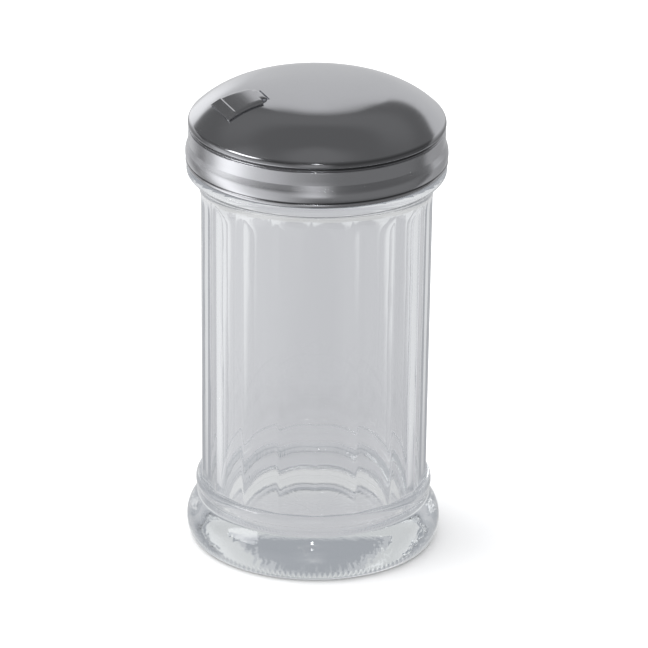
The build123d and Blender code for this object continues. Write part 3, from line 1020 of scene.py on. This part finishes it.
def flap_mesh():
    """The strip cut flat, with its edges eased, then bent along its side view."""
    half = flat_pattern()
    outline = half + [(u, -v) for u, v in reversed(half)]
    shape = bmesh.new()
    ground = shape.faces.new([shape.verts.new((u, v, 0)) for u, v in outline])
    raised = bmesh.ops.extrude_face_region(shape, geom=[ground])
    tops = [item for item in raised["geom"] if isinstance(item, bmesh.types.BMVert)]
    bmesh.ops.translate(shape, verts=tops, vec=(0, 0, sheet))
    bmesh.ops.recalc_face_normals(shape, faces=shape.faces[:])
    rim = [edge for edge in shape.edges if abs(edge.verts[0].co.z - edge.verts[1].co.z) < 1e-6]
    bmesh.ops.bevel(shape, geom=rim, offset=0.1, segments=2, profile=0.5, affect="EDGES")
    for along in lengths[1:-1]:
        cut_across(shape, (along, 0, 0), (1, 0, 0))
    for aside in [-cut for cut in side_cuts[:0:-1]] + side_cuts:
        cut_across(shape, (0, aside, 0), (0, 1, 0))
    for vertex in shape.verts:
        along, aside, above = vertex.co
        place = bent_place(along, above)
        vertex.co = Vector((-place.x, aside, place.y - side_drop(along, aside))) * mm
    bmesh.ops.recalc_face_normals(shape, faces=shape.faces[:])
    mesh = bpy.data.meshes.new("flap_steel")
    shape.to_mesh(mesh)
    shape.free()
    return mesh


flap = bpy.data.objects.new("flap_steel", flap_mesh())
scene.collection.objects.link(flap)
print("flap_steel", len(flap.data.vertices), "vertices")
flap_finish = steel_material("flap_sheet", 0.14, 0.0004, 0.2)
flap.data.materials.append(flap_finish)
edges_from_angle(flap, 35)
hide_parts("flap")
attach(flap, "flap")
print("flap box", [round(c / mm, 2) for c in flap.dimensions])

# %% [markdown]
# ## Light
# Polished steel and clear glass show nothing but what stands round them, so their light is designed as
# reflections: which parts of the room are bright, and which are dark. The room is written as a few soft
# panels, each with a direction, a width and a height in degrees. A panel of negative strength is a dark
# card, which a studio sets up to give steel and glass their contrast. Rays that leave steel see the
# panels. Rays that have gone through glass see a pale sweep behind the object and some of the panels.
# Rays that light the floor see an even white room, and the background is plain white.

# %% Helpers for soft panels
def sky_place(tree):
    """Azimuth and elevation of the direction that a ray leaves in, in degrees."""
    direction = add(tree, "ShaderNodeTexCoord").outputs["Generated"]
    x, y, z = add(tree, "ShaderNodeSeparateXYZ", {0: direction}).outputs
    degrees = 180 / math.pi
    azimuth = calc(tree, "MULTIPLY", calc(tree, "ARCTAN2", y, x), degrees)
    return azimuth, calc(tree, "MULTIPLY", calc(tree, "ARCSINE", z), degrees)


def share_along(tree, place, azimuth):
    """How far a direction or a point reaches towards an azimuth, which is in degrees."""
    turn = math.radians(azimuth)
    along = (math.cos(turn), math.sin(turn), 0)
    node = add(tree, "ShaderNodeVectorMath", {0: place, 1: along}, operation="DOT_PRODUCT")
    return node.outputs["Value"]


def soft_panel_group():
    """How much of a soft-edged panel lies in a direction: a value from 0 to 1."""
    tree, given, out = new_group(
        "soft panel",
        "ShaderNodeTree",
        [
            ("Azimuth", NUMBER, 0), ("Half Width", NUMBER, 20), ("Low", NUMBER, 0),
            ("High", NUMBER, 40), ("Side Softness", NUMBER, 5), ("End Softness", NUMBER, 5),
        ],
        [("Level", NUMBER)],
    )
    azimuth, elevation = sky_place(tree)
    away = calc(tree, "WRAP", calc(tree, "SUBTRACT", azimuth, given["Azimuth"]), 180, -180)
    aside = calc(tree, "SUBTRACT", given["Half Width"], calc(tree, "ABSOLUTE", away))
    gaps = [
        (aside, given["Side Softness"]),
        (calc(tree, "SUBTRACT", elevation, given["Low"]), given["End Softness"]),
        (calc(tree, "SUBTRACT", given["High"], elevation), given["End Softness"]),
    ]
    level = 1
    for gap, softness in gaps:
        start = calc(tree, "MULTIPLY", softness, -1)
        edge = ramp(tree, gap, start, softness, kind="SMOOTHSTEP")
        level = calc(tree, "MULTIPLY", edge, level)
    feed(tree, out["Level"], level)
    return tree


soft_panel = soft_panel_group()
print("soft panel has", len(soft_panel.nodes), "nodes")

# %% [markdown]
# ## The room
# The panels are named for what stands there in a studio. The pale sweep behind the object has an uneven
# top edge, because the outline of its reflection shows on the dome, so a curve gives its height.

# %% The room
# Name: direction, half width, lowest, highest, softness at the sides and at the ends, strength.
room_panels = {
    "table on the left": (160, 18, -75, 8, 16, 14, 1.1),
    "table round the left": (190, 28, -70, 8, 38, 14, 0.72),
    "table by the camera": (-70, 90, -38, 0, 24, 6, 0.08),
    "shade on the right": (24, 26, -90, -6, 18, 6, -0.3),
    "shade on the left": (124, 14, -90, -6, 12, 6, -0.4),
    "wall on the left": (90, 12, -6, 15, 9, 4, 0.5),
    "wall above the sweep": (68, 70, 38, 58, 30, 6, 0.045),
    "left softbox, high": (170, 20, 12, 56, 10, 10, 0.1),
    "front": (-114, 12, -16, 24, 8, 8, 0.6),
    "softbox": (176, 16, 20, 34, 1.5, 1.5, 4.5),
    "ceiling by the camera": (-112, 60, 64, 88, 30, 8, 0.06),
    "lamp by the camera": (-112, 1.6, 33, 36, 0.4, 0.4, 22.0),
}
# How high the pale sweep behind the object stands: turn from straight behind, top edge, in degrees.
skyline = [(-180, -90), (-80, -60), (-60, 8), (-44, 22), (-26, 23), (-12, 26), (-8, 27.5), (-5, 34)]
skyline += [(0, 36.6), (5, 34), (8, 32), (14, 24), (33, 14), (60, 4), (80, -60), (180, -90)]
sweep_direction, sweep_light, sweep_blur, dark_room = 68, 0.55, 1.2, 0.15
through_glass, through_glass_front, glints_through_glass = 0.67, 0.08, 0.7
floor_light = 1.3
background_tint = (0.985, 0.99, 1.0)
print("room has", len(room_panels), "panels")


def sweep_light_level(tree):
    """How much of the pale sweep lies in a direction, from 0 to 1, under its uneven top edge."""
    azimuth, elevation = sky_place(tree)
    turn = calc(tree, "WRAP", calc(tree, "SUBTRACT", azimuth, sweep_direction), 180, -180)
    share = calc(tree, "MULTIPLY_ADD", turn, 1 / 360, 0.5)
    edge = add(tree, "ShaderNodeFloatCurve", {"Value": share})
    curve = edge.mapping.curves[0]
    for place, (aside, top) in enumerate(skyline):
        location = (aside / 360 + 0.5, top / 180 + 0.5)
        if place in (0, 1):
            curve.points[place].location = location
        else:
            curve.points.new(*location)
    edge.mapping.update()
    top = calc(tree, "MULTIPLY", calc(tree, "SUBTRACT", edge.outputs[0], 0.5), 180)
    under = calc(tree, "SUBTRACT", top, elevation)
    return ramp(tree, under, -sweep_blur, sweep_blur, kind="SMOOTHSTEP")


def beyond_glass(tree, panels):
    """What rays see once they have left the glass: bright behind the object, dark in front."""
    direction = add(tree, "ShaderNodeTexCoord").outputs["Generated"]
    behind = share_along(tree, direction, sweep_direction)
    backdrop = ramp(tree, behind, -0.45, 0.15, through_glass_front, through_glass, "SMOOTHSTEP")
    sideways = calc(tree, "ABSOLUTE", share_along(tree, direction, sweep_direction + 90))
    lit = ramp(tree, sideways, 0.25, 0.6, 1.0, 1.25, "SMOOTHSTEP")
    backdrop = calc(tree, "MULTIPLY", backdrop, lit)
    return calc(tree, "MULTIPLY_ADD", panels, glints_through_glass, backdrop)


def studio_world():
    """White behind the object, even light for the floor, and the panels for steel and glass."""
    made = bpy.data.worlds.new("studio")
    made.use_nodes = True
    tree = made.node_tree
    background = tree.nodes["Background"]
    path = add(tree, "ShaderNodeLightPath").outputs
    panels = 0
    for values in room_panels.values():
        node = add(tree, "ShaderNodeGroup", node_tree=soft_panel)
        for socket, value in zip(node.inputs, values):
            socket.default_value = value
        panels = calc(tree, "MULTIPLY_ADD", node.outputs[0], values[-1], panels)
    sweep = calc(tree, "MULTIPLY_ADD", sweep_light_level(tree), sweep_light, dark_room)
    room = calc(tree, "ADD", sweep, panels)
    through = calc(tree, "MULTIPLY", path["Is Transmission Ray"], beyond_glass(tree, panels))
    even = calc(tree, "MULTIPLY", path["Is Diffuse Ray"], floor_light)
    # A ray that has gone through glass counts as glossy too, so it's taken out of the mirrored rays.
    not_through = calc(tree, "SUBTRACT", 1, path["Is Transmission Ray"])
    mirrored = calc(tree, "MULTIPLY", calc(tree, "MULTIPLY", path["Is Glossy Ray"], not_through), room)
    strength = path["Is Camera Ray"]
    for light in (through, even, mirrored):
        strength = calc(tree, "ADD", strength, light)
    feed(tree, background.inputs["Strength"], strength)
    background.inputs["Color"].default_value = (*background_tint, 1)
    return made


scene.world = studio_world()
scene.view_settings.view_transform = "Standard"
print("world has", len(scene.world.node_tree.nodes), "nodes")

# %% [markdown]
# ## Floor
# The floor is plain and pale. It's hidden from steel, whose reflections come from the room's panels.
# Seen through glass it's greyer and even, and paler out to the sides. That keeps the thick foot clear
# of the small dark shadow that it casts on itself, and lets its ridges catch the light of the sides.

# %% Floor
floor_half = 3.0
floor_white = (0.88, 0.88, 0.88)
floor_through_glass, floor_at_the_sides = (0.56, 0.565, 0.59), (0.78, 0.79, 0.81)


def pale_floor():
    """A wide white floor, a hair below the glass."""
    mesh = bpy.data.meshes.new("floor")
    corners = [(x * floor_half, y * floor_half, 0) for x, y in ((-1, -1), (1, -1), (1, 1), (-1, 1))]
    mesh.from_pydata(corners, [], [(0, 1, 2, 3)])
    plane = bpy.data.objects.new("floor", mesh)
    plane.location.z = -0.0001
    scene.collection.objects.link(plane)
    made, tree, shader, output = material("pale_floor")
    white = add(tree, "ShaderNodeBsdfDiffuse")
    white.inputs["Color"].default_value = (*floor_white, 1)
    place = add(tree, "ShaderNodeTexCoord").outputs["Object"]
    aside = calc(tree, "ABSOLUTE", share_along(tree, place, sweep_direction + 90))
    lit = ramp(tree, aside, 0.04, 0.09, kind="SMOOTHSTEP")
    tone = blend(tree, lit, floor_through_glass, floor_at_the_sides)
    grey = add(tree, "ShaderNodeEmission", {"Color": tone})
    seen_through = add(tree, "ShaderNodeLightPath").outputs["Is Transmission Ray"]
    sides = {0: seen_through, 1: white.outputs[0], 2: grey.outputs[0]}
    feed(tree, output.inputs["Surface"], add(tree, "ShaderNodeMixShader", sides).outputs[0])
    mesh.materials.append(made)
    plane.visible_glossy = False


pale_floor()
print("floor", 2 * floor_half, "m across")

# %% [markdown]
# ## The lamp
# One wide lamp stands high on the left and behind. It gives the jar its soft shadow on the floor. Steel
# and glass don't mirror it, because the panels already stand for everything that they mirror.

# %% Lamp
lamp_azimuth, lamp_rise = 150, 1.6
lamp_energy, lamp_spread = 1.6, 50


def wide_lamp():
    """A lamp as wide as a softbox, which casts a shadow with a soft edge."""
    lamp = bpy.data.objects.new("overhead", bpy.data.lights.new("overhead", "SUN"))
    lamp.data.energy, lamp.data.angle = lamp_energy, math.radians(lamp_spread)
    lamp.visible_glossy = False
    lamp.visible_transmission = False
    turn = math.radians(lamp_azimuth)
    towards = Vector((math.cos(turn), math.sin(turn), lamp_rise))
    lamp.rotation_euler = towards.to_track_quat("Z", "Y").to_euler()
    scene.collection.objects.link(lamp)


wide_lamp()
print("lamp spreads over", lamp_spread, "degrees")

# %% [markdown]
# ## Camera
# The camera stands far off with a long lens, a little above the lid, and turned so that the flap
# comes towards the left.

# %% Camera
def aim_camera(azimuth, elevation, distance, roll, aside, height, lens):
    """A camera that looks at the axis from a direction, with a little roll."""
    a, e, r = (math.radians(value) for value in (azimuth, elevation, roll))
    back = Vector((math.cos(e) * math.cos(a), math.cos(e) * math.sin(a), math.sin(e)))
    right = Vector((-math.sin(a), math.cos(a), 0))
    up = back.cross(right)
    across, above = right * math.cos(r) + up * math.sin(r), up * math.cos(r) - right * math.sin(r)
    place = Vector((0, 0, height * mm)) + right * aside * mm + back * distance * mm
    made = bpy.data.objects.new("camera", bpy.data.cameras.new("camera"))
    made.data.lens = lens
    made.data.clip_end = 20
    made.matrix_world = Matrix.Translation(place) @ Matrix((across, above, back)).transposed().to_4x4()
    scene.collection.objects.link(made)
    scene.camera = made
    return made


camera = aim_camera(
    azimuth=-112, elevation=22.95, distance=1700, roll=0.65, aside=2.6, height=65.7, lens=325.36
)
print("camera at", [round(v, 3) for v in camera.matrix_world.translation])
